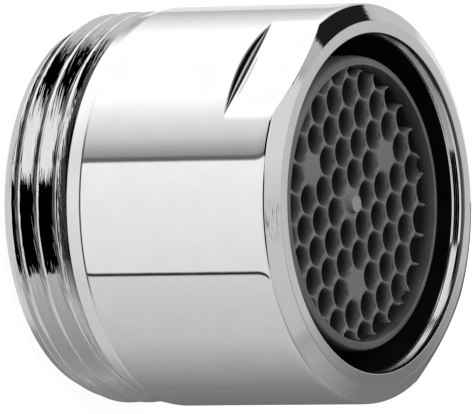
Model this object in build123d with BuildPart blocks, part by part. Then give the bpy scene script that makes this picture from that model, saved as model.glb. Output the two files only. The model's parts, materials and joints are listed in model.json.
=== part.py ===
# Tap aerator with an M18 x 1 male thread and a honeycomb outlet.
# Millimetres, +Z from the inlet towards the outlet, origin in the centre of the washer's sealing face.
from build123d import *
import math
import os

# Housing: turned brass shell
thread_diameter = 17.95     # outside of an M18 x 1 thread
thread_pitch = 1.0
thread_depth = 0.42         # as the photo shows it, shallower than the standard's
thread_crest_width = 0.1
thread_root_width = 0.06
thread_start = 0.523        # middle of the thread's groove below the inlet end, on the side of +X
relief_depth = 0.05         # groove between the thread and the body, below the thread's root
relief_width = 0.25
relief_wall = 0.545         # brass left between the relief and the bore
chamfer_length = 0.55       # at the inlet end, down to the relief's radius
housing_length = 14.7
body_step = 0.17            # body surface outside the thread's crests
body_length = 10.28         # lip to the start of the rear bevel
rear_bevel_length = 0.74
rear_bevel_drop = 0.14      # how far the rear bevel comes in from the body
retaining_step = 0.2        # mouth wall inside the bore, which stops the cartridge
mouth_length = 0.7
mouth_rounding = 0.08
lip_width = 0.55            # flat ring at the outlet
lip_cone_length = 0.45
lip_cone_rounding = 0.3
flat_depth = 0.5            # wrench flat below the body surface
flat_length = 3.02          # lip to the foot of the flat's end wall
flat_wall_lean = 17         # degrees, end wall of the flat leaning towards the inlet

# Clearances between the stacked pieces
bore_clearance = 0.05
skirt_clearance = 0.05
dome_clearance = 0.4

# Sealing washer
washer_thickness = 1.6
washer_width = 2.3
washer_proud = 0.3          # stands out of the housing's inlet end
washer_edge_rounding = 0.15

# Strainer
strainer_flange_thickness = 0.6
strainer_apex_setback = 0.35    # apex to the sealing face
strainer_wall = 0.5
strainer_hole_diameter = 0.8
strainer_ring_pitch = 1.25
strainer_ring_count = 3
strainer_holes_per_step = 6     # each ring has this many holes more than the one inside it

# Jet plate
jet_plate_thickness = 1.2
jet_count = 16
jet_wall_distance = 1.45    # centre of a jet to the wall of the mixing chamber
jet_diameter = 0.8
jet_entry_diameter = 1.3
jet_entry_depth = 0.4
jet_hub_diameter = 3.2
jet_hub_height = 0.7
jet_hub_taper = 20          # degrees

# Cartridge sleeve
sleeve_wall = 0.55
sleeve_edge_wall = 0.2      # wall left at the outlet end of the inside taper
sleeve_taper_length = 3.2
chamber_wall = 0.5
chamber_length = 3.4        # inner ring that carries the honeycomb's skirt
air_window_height = 1.2     # open slot between the jet plate and the inner ring
rib_count = 6
rib_thickness = 0.8
rib_length = 2.6

# Honeycomb plug
air_gap = 0.615             # between the plug and the sleeve
plug_wall = 0.5
rim_shoulder_width = 0.37
rim_shoulder_length = 0.5
rim_edge_flat = 0.06
rim_inner_lean = 0.12       # how far the rim's inner wall opens towards its edge
rim_setback = 0.72          # lip to the rim's edge
face_setback = 1.335        # lip to the face of the cells
grid_thickness = 2.2
cell_pitch = 1.404
cell_mouth_diameter = 1.345 # leaves a thin ridge between neighbouring cells
cell_throat_diameter = 0.95
cell_least_overlap = 0.2    # a cell cut by the rim is left out if less than this shows
comb_angle = 1.5            # degrees from the flats' direction to a row of cells
comb_blank_sites = [(0, 0), (2, 1), (-3, 2), (1, -3)]   # lattice steps to the centre and the three pads
gate_mark_diameter = 0.78
gate_mark_height = 0.2

# Radii
thread_radius = thread_diameter / 2
root_radius = thread_radius - thread_depth
relief_radius = root_radius - relief_depth
bore_radius = relief_radius - relief_wall
mouth_radius = bore_radius - retaining_step
lip_outer_radius = mouth_radius + lip_width
body_radius = thread_radius + body_step
rear_radius = body_radius - rear_bevel_drop
flat_distance = body_radius - flat_depth
stack_radius = bore_radius - bore_clearance
washer_inner_radius = stack_radius - washer_width
dome_radius = washer_inner_radius - dome_clearance
sleeve_inner_radius = stack_radius - sleeve_wall
plug_radius = sleeve_inner_radius - air_gap
rim_edge_radius = plug_radius - rim_shoulder_width
rim_inner_radius = rim_edge_radius - rim_edge_flat - rim_inner_lean
skirt_inner_radius = plug_radius - plug_wall
chamber_outer_radius = skirt_inner_radius - skirt_clearance
chamber_inner_radius = chamber_outer_radius - chamber_wall
jet_circle_radius = chamber_inner_radius - jet_wall_distance

# Heights, from the sealing face up
inlet_z = washer_proud
lip_z = inlet_z + housing_length
body_z = lip_z - body_length
rear_z = body_z - rear_bevel_length
relief_z = rear_z - relief_width
cone_z = lip_z - lip_cone_length
mouth_z = lip_z - mouth_length
flat_z = lip_z - flat_length
flange_z = washer_thickness
plate_z = flange_z + strainer_flange_thickness
sleeve_z = plate_z + jet_plate_thickness
chamber_z = sleeve_z + air_window_height
rib_end_z = sleeve_z + rib_length
rim_z = lip_z - rim_setback
face_z = lip_z - face_setback
grid_back_z = face_z - grid_thickness

os.makedirs("parts", exist_ok=True)


# Housing
with BuildPart() as housing:
    with BuildSketch(Plane.XZ):
        with BuildLine():
            Polyline(
                (bore_radius, inlet_z),
                (relief_radius, inlet_z),
                (thread_radius, inlet_z + chamfer_length),
                (thread_radius, relief_z),
                (bore_radius, relief_z),
                close=True,
            )
        make_face()
    revolve(axis=Axis.Z)
    # The groove of the thread, turn by turn from below the inlet end to past the relief. Outside the crests
    # it goes on widening until only half a crest is left between its turns.
    groove_z = inlet_z - thread_start - thread_pitch
    groove_turns = math.ceil((rear_z - groove_z) / thread_pitch) + 1
    flank_width = (thread_pitch - thread_crest_width - thread_root_width) / 2
    half_root = thread_root_width / 2
    half_mouth = (thread_pitch - thread_crest_width / 2) / 2
    mouth_height = (half_mouth - half_root) * thread_depth / flank_width
    turn_direction = (0, 2 * math.pi * thread_radius, thread_pitch)
    turn_heights = [groove_z + turn * thread_pitch for turn in range(groove_turns)]
    turns = [Helix(thread_pitch, thread_pitch, thread_radius, center=(0, 0, height)) for height in turn_heights]
    with BuildSketch(Plane((root_radius, 0, groove_z), x_dir=(1, 0, 0), z_dir=turn_direction)):
        with BuildLine():
            Polyline(
                (0, -half_root),
                (mouth_height, -half_mouth),
                (mouth_height, half_mouth),
                (0, half_root),
                close=True,
            )
        make_face()
    sweep(path=Wire(turns), is_frenet=True, mode=Mode.SUBTRACT)
    with BuildSketch(Plane.XZ) as body_section:
        with BuildLine():
            Polyline(
                (bore_radius, relief_z),
                (relief_radius, relief_z),
                (relief_radius, rear_z),
                (rear_radius, rear_z),
                (body_radius, body_z),
                (body_radius, cone_z),
                (lip_outer_radius, lip_z),
                (mouth_radius, lip_z),
                (mouth_radius, mouth_z),
                (bore_radius, mouth_z),
                close=True,
            )
        make_face()
        cone_edge = body_section.vertices().sort_by_distance((body_radius, cone_z))[0]
        fillet(cone_edge, lip_cone_rounding)
        mouth_edge = body_section.vertices().sort_by_distance((mouth_radius, lip_z))[0]
        fillet(mouth_edge, mouth_rounding)
    revolve(axis=Axis.Z)
    # Two wrench flats that run out through the lip's cone
    with BuildSketch(Plane.XZ):
        cut_outside = body_radius + flat_depth
        wall_run = (cut_outside - flat_distance) * math.tan(math.radians(flat_wall_lean))
        with BuildLine():
            Polyline(
                (flat_distance, flat_z),
                (cut_outside, flat_z - wall_run),
                (cut_outside, lip_z),
                (flat_distance, lip_z),
                close=True,
            )
        make_face()
        mirror(about=Plane.YZ)
    extrude(amount=body_radius, both=True, mode=Mode.SUBTRACT)
housing.part.label = "housing"
export_step(housing.part, "parts/housing.step")


# Sealing washer
with BuildPart() as sealing_washer:
    with BuildSketch():
        Circle(stack_radius)
        Circle(washer_inner_radius, mode=Mode.SUBTRACT)
    extrude(amount=washer_thickness)
    fillet(sealing_washer.edges().filter_by(GeomType.CIRCLE), washer_edge_rounding)
sealing_washer.part.label = "sealing_washer"
export_step(sealing_washer.part, "parts/sealing_washer.step")


# Strainer: flange ring with a perforated dome that bulges towards the inlet
def strainer_hole_places():
    """Hole centres in rings around the middle."""
    places = [(0, 0)]
    for ring in range(1, strainer_ring_count + 1):
        count = ring * strainer_holes_per_step
        for step in range(count):
            turn = 2 * math.pi * step / count
            reach = ring * strainer_ring_pitch
            places.append((reach * math.cos(turn), reach * math.sin(turn)))
    return places


with BuildPart() as strainer_dome:
    with BuildSketch(Plane.XZ):
        with BuildLine():
            apex = (0, strainer_apex_setback)
            inner_apex = (0, strainer_apex_setback + strainer_wall)
            outer_foot = (dome_radius, flange_z)
            inner_foot = (dome_radius - strainer_wall, plate_z)
            TangentArc(apex, outer_foot, tangent=(1, 0))
            Polyline(outer_foot, (stack_radius, flange_z), (stack_radius, plate_z), inner_foot)
            TangentArc(inner_apex, inner_foot, tangent=(1, 0))
            Line(inner_apex, apex)
        make_face()
    revolve(axis=Axis.Z)
    with Locations(*strainer_hole_places()):
        Cylinder(
            strainer_hole_diameter / 2,
            plate_z,
            align=(Align.CENTER, Align.CENTER, Align.MIN),
            mode=Mode.SUBTRACT,
        )
strainer_dome.part.label = "strainer_dome"
export_step(strainer_dome.part, "parts/strainer_dome.step")


# Jet plate
with BuildPart() as jet_plate:
    with BuildSketch(Plane.XY.offset(plate_z)):
        Circle(stack_radius)
    extrude(amount=jet_plate_thickness)
    with BuildSketch(Plane.XY.offset(sleeve_z)):
        Circle(jet_hub_diameter / 2)
    extrude(amount=jet_hub_height, taper=jet_hub_taper)
    with PolarLocations(jet_circle_radius, jet_count):
        with Locations((0, 0, plate_z)):
            Cylinder(
                jet_diameter / 2,
                jet_plate_thickness,
                align=(Align.CENTER, Align.CENTER, Align.MIN),
                mode=Mode.SUBTRACT,
            )
            Cone(
                jet_entry_diameter / 2,
                jet_diameter / 2,
                jet_entry_depth,
                align=(Align.CENTER, Align.CENTER, Align.MIN),
                mode=Mode.SUBTRACT,
            )
jet_plate.part.label = "jet_plate"
export_step(jet_plate.part, "parts/jet_plate.step")


# Cartridge sleeve: outer tube, inner ring and the ribs between them
with BuildPart() as cartridge_sleeve:
    with BuildSketch(Plane.XZ):
        with BuildLine():
            Polyline(
                (sleeve_inner_radius, sleeve_z),
                (stack_radius, sleeve_z),
                (stack_radius, mouth_z),
                (stack_radius - sleeve_edge_wall, mouth_z),
                (sleeve_inner_radius, mouth_z - sleeve_taper_length),
                close=True,
            )
        make_face()
    revolve(axis=Axis.Z)
    with BuildSketch(Plane.XY.offset(sleeve_z)):
        rib_outer_radius = stack_radius - sleeve_wall / 2
        with PolarLocations((chamber_inner_radius + rib_outer_radius) / 2, rib_count):
            Rectangle(rib_outer_radius - chamber_inner_radius, rib_thickness)
        Circle(chamber_inner_radius, mode=Mode.SUBTRACT)
    extrude(amount=rib_length)
    with BuildSketch(Plane.XY.offset(chamber_z)):
        Circle(chamber_outer_radius)
        Circle(chamber_inner_radius, mode=Mode.SUBTRACT)
    extrude(amount=chamber_length)
cartridge_sleeve.part.label = "cartridge_sleeve"
export_step(cartridge_sleeve.part, "parts/cartridge_sleeve.step")


# Honeycomb plug
def comb_site(row, column):
    """Place of a lattice site, counted in steps along two directions 60 degrees apart."""
    turn = math.radians(comb_angle)
    along = row + column / 2
    across = column * math.sqrt(3) / 2
    x = cell_pitch * (along * math.cos(turn) - across * math.sin(turn))
    y = cell_pitch * (along * math.sin(turn) + across * math.cos(turn))
    return (x, y)


def cell_places():
    """Centres of the cells inside the rim, without the blank centre and the three blank pads."""
    reach = rim_inner_radius + cell_mouth_diameter / 2 - cell_least_overlap
    steps = math.ceil(reach / cell_pitch * 2 / math.sqrt(3))
    places = []
    for row in range(-steps, steps + 1):
        for column in range(-steps, steps + 1):
            place = comb_site(row, column)
            if (row, column) not in comb_blank_sites and math.hypot(*place) < reach:
                places.append(place)
    return places


with BuildPart() as outlet_honeycomb:
    with BuildSketch(Plane.XY.offset(grid_back_z)):
        Circle(rim_inner_radius)
    extrude(amount=grid_thickness)
    with Locations(*[(x, y, face_z) for x, y in cell_places()]):
        Cone(
            cell_throat_diameter / 2,
            cell_mouth_diameter / 2,
            grid_thickness,
            align=(Align.CENTER, Align.CENTER, Align.MAX),
            mode=Mode.SUBTRACT,
        )
    # Rim and skirt, which also close off the cells at the edge
    with BuildSketch(Plane.XZ):
        with BuildLine():
            inside = Polyline(
                (plug_radius, rib_end_z),
                (skirt_inner_radius, rib_end_z),
                (skirt_inner_radius, grid_back_z),
                (rim_inner_radius, grid_back_z),
                (rim_inner_radius, face_z),
                (rim_edge_radius - rim_edge_flat, rim_z),
                (rim_edge_radius, rim_z),
            )
            shoulder = TangentArc((plug_radius, rim_z - rim_shoulder_length), inside @ 1, tangent=(0, 1))
            Line(shoulder @ 0, inside @ 0)
        make_face()
    revolve(axis=Axis.Z)
    with BuildSketch(Plane.XY.offset(face_z)):
        Circle(gate_mark_diameter / 2)
    extrude(amount=gate_mark_height)
outlet_honeycomb.part.label = "outlet_honeycomb"
export_step(outlet_honeycomb.part, "parts/outlet_honeycomb.step")
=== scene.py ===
import json
import math

import bmesh
import bpy
import numpy as np
from mathutils import Matrix, Vector


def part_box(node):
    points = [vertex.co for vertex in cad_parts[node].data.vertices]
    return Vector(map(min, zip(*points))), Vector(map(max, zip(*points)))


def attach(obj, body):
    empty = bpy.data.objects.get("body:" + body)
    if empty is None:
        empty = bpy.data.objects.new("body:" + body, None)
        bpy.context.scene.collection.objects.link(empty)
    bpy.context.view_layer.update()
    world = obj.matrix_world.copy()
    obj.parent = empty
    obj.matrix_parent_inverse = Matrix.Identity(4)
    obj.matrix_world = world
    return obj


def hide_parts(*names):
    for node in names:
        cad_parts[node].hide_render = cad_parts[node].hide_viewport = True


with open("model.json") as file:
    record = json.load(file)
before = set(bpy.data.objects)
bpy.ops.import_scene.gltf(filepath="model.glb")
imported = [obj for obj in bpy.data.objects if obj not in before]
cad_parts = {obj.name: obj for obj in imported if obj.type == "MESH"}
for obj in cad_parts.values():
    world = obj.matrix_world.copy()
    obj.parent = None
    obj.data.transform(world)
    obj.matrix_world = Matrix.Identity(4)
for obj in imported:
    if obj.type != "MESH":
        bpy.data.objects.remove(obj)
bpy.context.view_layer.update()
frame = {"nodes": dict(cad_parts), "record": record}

# Sizes in metres. The frame gives the outer sizes, and the rest are the real ones in millimetres.
MM = 0.001
HOUSING_LOW, HOUSING_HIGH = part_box("housing")
WASHER_LOW, WASHER_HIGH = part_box("sealing_washer")
STRAINER_LOW, STRAINER_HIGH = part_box("strainer_dome")
PLUG_LOW, PLUG_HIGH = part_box("outlet_honeycomb")
THREAD = next(mount for mount in frame["record"]["mounts"] if mount["name"] == "thread")

# Turned housing
LIP_Z = HOUSING_HIGH.z
INLET_Z = HOUSING_LOW.z
BODY_RADIUS = min(HOUSING_HIGH.x, HOUSING_HIGH.y, -HOUSING_LOW.x, -HOUSING_LOW.y)
THREAD_RADIUS = THREAD["dims"]["r_mm"] * MM
THREAD_PITCH = 1.0 * MM
THREAD_DEPTH = 0.42 * MM
THREAD_ROWS_PER_TURN = 24
THREAD_CREST_SHARE = 2 / 24  # shares of the pitch, in whole rows
THREAD_ROOT_SHARE = 4 / 24
THREAD_INLET_FLANK_SHARE = 6 / 24  # the side towards the inlet is the steeper one
THREAD_START = 0.523  # middle of the groove below the inlet end, on the side of +X
RELIEF_RADIUS = 8.505 * MM
CHAMFER_FOOT_RADIUS = 8.44 * MM  # at the inlet end
CHAMFER_LENGTH = 1.05 * MM
CHAMFER_CLEAN_LENGTH = CHAMFER_LENGTH / 3  # where no root is cut into it
RUN_OUT_SLOPE = 1.5  # how steeply the thread comes down to the relief
RELIEF_WIDTH = 0.25 * MM
BODY_LENGTH = 10.28 * MM  # lip to the start of the rear bevel
REAR_BEVEL_LENGTH = 0.74 * MM
REAR_BEVEL_DROP = 0.14 * MM
BORE_RADIUS = 7.96 * MM
MOUTH_RADIUS = 7.76 * MM
MOUTH_LENGTH = 0.7 * MM
MOUTH_PLAIN_LENGTH = 0.2 * MM  # smooth part of the mouth wall below the lip
# Rings that the cutting tool has left on the mouth wall, and the share of each that its long side takes.
MOUTH_GROOVE_LEANS = [math.radians(lean) for lean in (18, 30, 30, 30, 18)]
MOUTH_GROOVE_SIDE = 0.98
LIP_OUTER_RADIUS = 8.31 * MM
LIP_CONE_LENGTH = 0.45 * MM
LIP_LEAN = math.radians(3)  # the polished lip falls a little towards its outer edge
FLAT_DISTANCE = BODY_RADIUS - 0.5 * MM
FLAT_LENGTH = 3.02 * MM
FLAT_WALL_LEAN = math.radians(17)
FLAT_FOOT_RISE = 0.25 * MM  # hollow at the foot of the flat's end wall
FLAT_FOOT_RUN = 0.15 * MM
FLAT_EDGE_BLEND = 0.02 * MM  # how softly the flat runs out into the round body
POLISHED_START = 0.375 * MM  # polishing has bent the body towards the lip's cone
POLISHED_END = 0.2 * MM
POLISHED_LEAN = math.radians(15)
EDGE_ROUNDING = 0.05 * MM
BEVEL_ROUNDING = 3 * EDGE_ROUNDING
LIP_ROUNDING = EDGE_ROUNDING / 2
FLAT_TIP_ROUNDING = EDGE_ROUNDING / 4  # where the flat meets the lip's cone
LEAST_FACING = 0.1  # keeps the flat's distance finite on the sides that face away from it
THREAD_LEAD_IN = 1.5  # turns that the thread's rows start below the inlet end
THREAD_NUDGE = 0.001  # share of a turn that keeps a crest's row in its own turn

# Scratches, painted reflection and painted shade on the housing. Places aside are shares of a radius, seen
# from the camera.
SCRATCH_LENGTH = 0.7 * MM
SCRATCH_WIDTH = 0.03 * MM
SCRATCH_FROM = 0.54  # levels of the noise between which a mark comes up
SCRATCH_FULLY = 0.66
SCRATCHED_TOP = LIP_Z - 1.5 * EDGE_ROUNDING
# painted reflection: the band on the lip's cone where the scratch marks show
REFLECTION_STREAKS_PLACE = -0.08
REFLECTION_STREAKS_HALF = 0.05
REFLECTION_STREAKS_END = 0.12
# painted light: where the root's painted shade gives way on the thread's lower side
LIGHT_SIDE_FROM = -0.25
LIGHT_SIDE_FULLY = -0.5
LIGHT_SIDE_JITTER = 0.4
ROOT_JITTER = 0.35 * MM  # how raggedly the painted shade at the root ends
ROOT_SHADE_HEIGHT = 0.03 * MM
ROOT_UNSHADED_HEIGHT = 0.08 * MM
STREAKS_ALONG = 0.5 / MM  # how quickly the tool's streaks change along the thread and across it
STREAKS_ACROSS = 1.4
SHADE_PATCH_SCALE = 2.7  # patches in the painted shade at the root are so much finer than the streaks

# Honeycomb plug
RIM_INNER_RADIUS = 6.195 * MM
RIM_EDGE_RADIUS = 6.375 * MM
RIM_EDGE_FLAT = 0.06 * MM
RIM_ROUNDING = EDGE_ROUNDING / 2
RIM_SHOULDER_LENGTH = 0.5 * MM
RIM_SHOULDER_SHARE = 0.55  # how much of the rim's width the shoulder takes
RIM_SHOULDER_DROP = 0.12 * MM
SKIRT_INNER_RADIUS = 6.245 * MM
PLUG_RADIUS = PLUG_HIGH.x
RIM_Z = PLUG_HIGH.z
FACE_Z = RIM_Z - 0.615 * MM
GRID_THICKNESS = 2.2 * MM
CELL_PITCH = 1.404 * MM
CELL_THROAT_RADIUS = 0.475 * MM
CELL_FLAT_RADIUS = 0.75 * MM  # where a funnel's wall has come level with the face
CELL_FUNNEL_DEPTH = 1.3 * MM
COMB_TURN = math.radians(1.5)
COMB_BLANK_SITES = ((0, 0), (2, 1), (-3, 2), (1, -3))
COMB_WALL_FILLET = 0.18 * MM
COMB_INTO_WALL = 0.01 * MM
COMB_SPARE = 0.6  # pitches past the rim to which sites are kept, for cells that it cuts
LATTICE_SPAN = 12  # sites from side to side, a few more than the comb needs
PAD_EDGE = 0.06 * MM
GATE_MARK_RADIUS = 0.39 * MM
GATE_MARK_FOOT_RADIUS = 0.47 * MM
GATE_MARK_HEIGHT = 0.28 * MM
GATE_MARK_DISH = 0.05 * MM
GATE_MARK_DISH_SHARE = 0.7
SHADE_START_DEPTH = 0.02 * MM  # painted shade starts this far below a black face
FULL_SHADE_DEPTH = 0.5 * MM
FULL_SHADE_SHARE = 1 / 4  # tone at full painted shade, as a share of the moulding's own

# Washer and strainer at the inlet
WASHER_INNER_RADIUS = 5.61 * MM
WASHER_ROUNDING = 0.15 * MM
DOME_RADIUS = 5.21 * MM
DOME_WALL = 0.5 * MM
STRAINER_FLANGE = 0.6 * MM
STRAINER_HOLE_RADIUS = 0.4 * MM
STRAINER_RING_PITCH = 1.25 * MM
STRAINER_RINGS = 3
STRAINER_HOLES_PER_STEP = 6
STRAINER_HOLE_SIDES = 32
STRAINER_DRILL_HEIGHT = 4 * STRAINER_HIGH.z  # well past the dome
DOME_STEPS = 16
DOME_SHARP_ANGLE = math.radians(40)

# Camera and light
NEAR_SIDE = math.radians(45.5)  # direction from the axis towards the camera, from +X towards +Y
AXIS_TO_VIEW = math.radians(58.12)
ROLL = math.radians(0.9)
CAMERA_DISTANCE = 70 * BODY_RADIUS
FRAME_WIDTH_PX = 473
BODY_RADIUS_PX = 201.12  # the body's radius in the photograph's frame
LIP_CENTRE_RIGHT = 0.699  # lip's centre from the middle of the frame, in body radii
LIP_CENTRE_UP = 0.0186
CHROME_REFLECTANCE = 0.8
SCREEN_GAMMA = 2.2  # brings grey levels on the screen to light
AXIS = Vector((0, 0, 1))
NEAR = Vector((math.cos(NEAR_SIDE), math.sin(NEAR_SIDE), 0))
ASIDE = Vector((math.sin(NEAR_SIDE), -math.cos(NEAR_SIDE), 0))
SENSOR_WIDTH = 36  # millimetres, as lenses are counted
NEAREST_SEEN = 0.01
FARTHEST_SEEN = 10
FLOOR_HALF = 1.5
FLOOR_TONE = 0.4
FLOOR_GLOW = 0.88  # brings the floor to white for the camera alone
EVEN_LIGHT = 0.15
SOFTBOX_DIRECTION = AXIS + NEAR * 0.15 + ASIDE * 0.3
SOFTBOX_DISTANCE = 0.25
SOFTBOX_SIZE = 0.18
SOFTBOX_POWER = 0.72

COLUMNS = 360  # steps around every turned piece
COLUMN_ANGLES = np.arange(COLUMNS) * (2 * math.pi / COLUMNS)
COLUMN_X = np.cos(COLUMN_ANGLES)
COLUMN_Y = np.sin(COLUMN_ANGLES)
RUN_SHARES = (0.04, 0.5, 0.96)  # points along a section's straight runs, for even shading
GROOVE_SHARES = (0, 0.06, 0.94, 1)
LONGEST_REACH = 0.45  # share of a run that one corner's rounding may take
WELD = 0.001 * MM
SLIVER = WELD / 10  # edges shorter than this are dropped


# Node trees

class Wire:
    """An output socket to reckon with: each sign adds one Math node to the socket's own tree."""

    def __init__(self, socket):
        self.socket = socket
        self.tree = socket.id_data

    def math(self, operation, *others):
        values = dict(enumerate((self, *others)))
        return add_wire(self.tree, "ShaderNodeMath", values, operation=operation)

    def __add__(self, other):
        return self.math("ADD", other)

    def __sub__(self, other):
        return self.math("SUBTRACT", other)

    def __mul__(self, other):
        return self.math("MULTIPLY", other)

    def __truediv__(self, other):
        return self.math("DIVIDE", other)

    def __gt__(self, other):
        return self.math("GREATER_THAN", other)

    def __lt__(self, other):
        return self.math("LESS_THAN", other)

    def flipped(self):
        """One minus the value, which turns a choice of 0 or 1 round."""
        return self.math("MULTIPLY_ADD", -1.0, 1.0)

    def clamped(self):
        return self.math("MAXIMUM", 0.0).math("MINIMUM", 1.0)


def add_node(tree, kind, values=None, **settings):
    """Adds a node, sets its properties, and sets or links its inputs by name or number."""
    node = tree.nodes.new(kind)
    for name, value in settings.items():
        setattr(node, name, value)
    for key, value in (values or {}).items():
        if isinstance(value, Wire):
            tree.links.new(value.socket, node.inputs[key])
        else:
            node.inputs[key].default_value = value
    return node


def add_wire(tree, kind, values=None, **settings):
    """Adds a node in the same way and returns its first output."""
    return Wire(add_node(tree, kind, values, **settings).outputs[0])


def add_object(name, data):
    thing = bpy.data.objects.new(name, data)
    bpy.context.scene.collection.objects.link(thing)
    return thing


def new_tree(name, kind, inputs, outputs):
    """Starts a node tree with sockets, named and with what they hold, and returns it with its inputs."""
    tree = bpy.data.node_groups.new(name, kind)
    for side, sockets in (("INPUT", inputs), ("OUTPUT", outputs)):
        for socket, content in sockets.items():
            tree.interface.new_socket(socket, in_out=side, socket_type="NodeSocket" + content)
    start = tree.nodes.new("NodeGroupInput")
    return tree, {socket.name: Wire(socket) for socket in start.outputs if socket.name}


def new_shape_tree(name, sizes, counts=()):
    """Starts a Geometry Nodes tree with an input for every size and count."""
    shape = {"Geometry": "Geometry"}
    inputs = shape | dict.fromkeys(sizes, "Float") | dict.fromkeys(counts, "Int")
    return new_tree(name, "GeometryNodeTree", inputs, shape)


def finish_shape_tree(tree, geometry, material):
    """Ends a tree with smooth shading, real geometry and its material."""
    smooth = add_wire(tree, "GeometryNodeSetShadeSmooth", {"Geometry": geometry})
    real = add_wire(tree, "GeometryNodeRealizeInstances", {"Geometry": smooth})
    painted = add_wire(tree, "GeometryNodeSetMaterial", {"Geometry": real, "Material": material})
    add_node(tree, "NodeGroupOutput", {0: painted})


def grow(name, tree, sizes, start=None):
    """Runs a Geometry Nodes tree once, with these input values, and returns a plain mesh."""
    carrier = add_object(name, start or bpy.data.meshes.new(name))
    modifier = carrier.modifiers.new(name, "NODES")
    modifier.node_group = tree
    for item in tree.interface.items_tree:
        if item.in_out == "INPUT" and item.name in sizes:
            modifier[item.identifier] = sizes[item.name]
    graph = bpy.context.evaluated_depsgraph_get()
    mesh = bpy.data.meshes.new_from_object(carrier.evaluated_get(graph), depsgraph=graph)
    carrier.modifiers.remove(modifier)
    bpy.data.objects.remove(carrier)
    return mesh


def split_xyz(tree, place):
    split = add_node(tree, "ShaderNodeSeparateXYZ", {0: place})
    return tuple(Wire(socket) for socket in split.outputs)


def place_of_points(tree):
    """The x, y and z of each point as wires."""
    return split_xyz(tree, add_wire(tree, "GeometryNodeInputPosition"))


def place_on_surface(tree):
    """The x, y and z of each place on a finished piece, in the part's own frame."""
    return split_xyz(tree, Wire(tree.nodes.new("ShaderNodeTexCoord").outputs["Object"]))


def off_axis(x, y):
    return (x * x + y * y).math("SQRT")


def sideways(x, y, direction):
    """How far a place lies in a level direction."""
    return x * direction.x + y * direction.y


def joined_xyz(tree, x, y, z):
    return add_wire(tree, "ShaderNodeCombineXYZ", {0: x, 1: y, 2: z})


def round_axis(tree, radius, turn, height):
    """A place at so many turns round the axis."""
    angle = turn * (2 * math.pi)
    return joined_xyz(tree, radius * angle.math("COSINE"), radius * angle.math("SINE"), height)


def moved(tree, geometry, position):
    return add_wire(tree, "GeometryNodeSetPosition", {"Geometry": geometry, "Position": position})


def unit_grid(tree, columns, rows):
    """A grid with so many columns and rows of points, and each point's share of the way across and up."""
    values = {"Size X": 1.0, "Size Y": 1.0, "Vertices X": columns, "Vertices Y": rows}
    grid = add_wire(tree, "GeometryNodeMeshGrid", values)
    x, y, _ = place_of_points(tree)
    return grid, x + 0.5, y + 0.5


def welded(tree, geometry):
    return add_wire(tree, "GeometryNodeMergeByDistance", {"Geometry": geometry, "Distance": WELD})


# Turned pieces

def toward(start, end, share):
    """The point at a share of the way from start to end, for single points and whole rings alike."""
    return tuple(a + (b - a) * share for a, b in zip(start, end))


def bent_corner(before, corner, after, reach_in, reach_out, steps):
    """A corner of a section bent into a curve that starts and ends within reach of it."""
    curve = []
    ends = []
    for other, reach in ((before, reach_in), (after, reach_out)):
        length = np.hypot(other[0] - corner[0], other[1] - corner[1])
        share = np.minimum(reach / np.maximum(length, WELD), LONGEST_REACH)
        ends.append(toward(corner, other, share))
    for step in range(steps + 1):
        share = step / steps
        first = toward(ends[0], corner, share)
        second = toward(corner, ends[1], share)
        curve.append(toward(first, second, share))
    return curve


def section(corners, closed=False):
    """A section's points from its corners (radius, height, reach in, reach out, steps)."""
    rings = []
    count = len(corners)
    for index, (radius, height, reach_in, reach_out, steps) in enumerate(corners):
        corner = (radius, height)
        before = corners[index - 1][:2] if index or closed else None
        after = corners[(index + 1) % count][:2] if index + 1 < count or closed else None
        if before is None or after is None:
            rings.append([corner])
        else:
            rings.append(bent_corner(before, corner, after, reach_in, reach_out, steps))
    points = []
    for index, ring in enumerate(rings):
        points += ring
        if index + 1 < count or closed:
            following = rings[(index + 1) % count][0]
            points += [toward(ring[-1], following, share) for share in RUN_SHARES]
    return points


def turned_mesh(name, rings, materials, closed=True, ring_material=None):
    """A mesh of rings of (radius, height), each one number or one for every column."""
    points = []
    for radius, height in rings:
        height = np.broadcast_to(height, COLUMNS)
        points.append(np.stack((radius * COLUMN_X, radius * COLUMN_Y, height), axis=1))
    count = len(rings)
    faces = []
    paints = []
    for ring in range(count if closed else count - 1):
        for column in range(COLUMNS):
            following = (column + 1) % COLUMNS
            low = ring * COLUMNS
            high = (ring + 1) % count * COLUMNS
            faces.append((low + column, low + following, high + following, high + column))
            paints.append(ring_material(ring) if ring_material else 0)
    mesh = bpy.data.meshes.new(name)
    mesh.from_pydata(np.concatenate(points).tolist(), [], faces)
    for material in materials:
        mesh.materials.append(material)
    mesh.polygons.foreach_set("material_index", paints)
    return mesh


def joined_mesh(name, meshes, materials):
    """Several meshes as one: doubles welded, faces turned outwards and shaded smooth."""
    whole = bmesh.new()
    for mesh in meshes:
        places = [materials.index(material) if material else 0 for material in mesh.materials]
        known = len(whole.faces)
        whole.from_mesh(mesh)
        whole.faces.ensure_lookup_table()
        for face in whole.faces[known:]:
            face.material_index = places[face.material_index]
        bpy.data.meshes.remove(mesh)
    bmesh.ops.remove_doubles(whole, verts=whole.verts, dist=WELD)
    bmesh.ops.dissolve_degenerate(whole, edges=whole.edges, dist=SLIVER)
    bmesh.ops.recalc_face_normals(whole, faces=whole.faces)
    for face in whole.faces:
        face.smooth = True
    mesh = bpy.data.meshes.new(name)
    whole.to_mesh(mesh)
    whole.free()
    for material in materials:
        mesh.materials.append(material)
    return mesh


def add_piece(name, mesh, node):
    """Puts a finished mesh in the scene in place of a solid."""
    piece = add_object(name, mesh)
    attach(piece, "root")
    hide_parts(node)


# Finishes

def grey(level):
    return (level, level, level, 1)


def ranged(tree, value, low, high, from_low=0.3, from_high=0.7):
    """A wire brought from its own range to a range between two values."""
    return add_wire(tree, "ShaderNodeMapRange", {0: value, 1: from_low, 2: from_high, 3: low, 4: high})


def blended(tree, share, first, second):
    """A colour between two, by a wire from 0 to 1."""
    mix = add_node(tree, "ShaderNodeMix", {0: share, 6: first, 7: second}, data_type="RGBA")
    return Wire(mix.outputs[2])


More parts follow.
